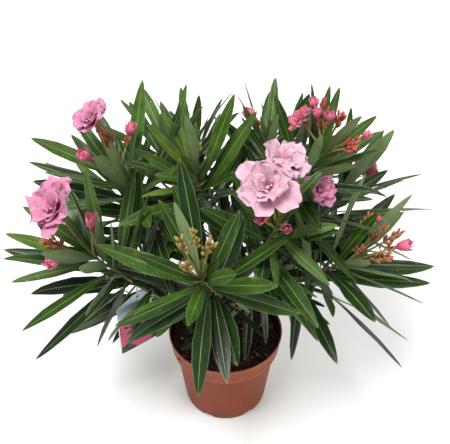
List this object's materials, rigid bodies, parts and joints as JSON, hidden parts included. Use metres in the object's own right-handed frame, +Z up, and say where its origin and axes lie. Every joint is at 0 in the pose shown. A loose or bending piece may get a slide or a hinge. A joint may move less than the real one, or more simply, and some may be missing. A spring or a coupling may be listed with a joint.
{
  "type": "potted oleander",
  "caption": "Bushy many-stemmed oleander with narrow leathery leaves, double pink flowers and red buds, in a moulded nursery pot with a hang label.",
  "frame": {"origin": "centre of the pot's flat underside", "axes": "+Z up along the pot's axis, -Y towards the plant's front, +X to the viewer's right and along its widest reach"},
  "size_m": [0.6323, 0.5658, 0.5678],
  "materials": {
    "pot": "satin moulded plastic, terracotta red-brown",
    "soil": "moist dark potting mix",
    "bark": "thin greenish-brown bark with leaf scars",
    "leaves": "leathery dark green leaves, pink flowers, red-brown buds",
    "label": "thin printed plastic card",
    "loop": "thin pale plastic loop"
  },
  "bodies": {
    "root": {"pot": "pot", "soil": "soil", "trunk": "bark", "bough_top": "bark", "bough_front": "bark", "bough_left": "bark", "bough_low_right": "bark", "bough_upper_right": "bark", "bough_back_left_low": "bark", "bough_upper_left": "bark", "bough_back_left": "bark", "bough_back_right": "bark", "bough_bloom": "bark", "bough_right": "bark", "bough_inner_right": "bark", "bough_low_left": "bark", "bough_far_left": "bark", "bough_back_right_low": "bark", "bough_far_right": "bark", "bough_low_back": "bark", "bough_side_right": "bark", "foliage_top": "leaves", "foliage_front": "leaves", "foliage_left": "leaves", "foliage_low_right": "leaves", "foliage_upper_right": "leaves", "foliage_back_left_low": "leaves", "foliage_upper_left": "leaves", "foliage_back_left": "leaves", "foliage_back_right": "leaves", "foliage_bloom": "leaves", "foliage_right": "leaves", "foliage_inner_right": "leaves", "foliage_low_left": "leaves", "foliage_far_left": "leaves", "foliage_back_right_low": "leaves", "foliage_far_right": "leaves", "foliage_low_back": "leaves", "foliage_side_right": "leaves", "label_loop": "loop", "label": "label"}
  },
  "joints": []
}
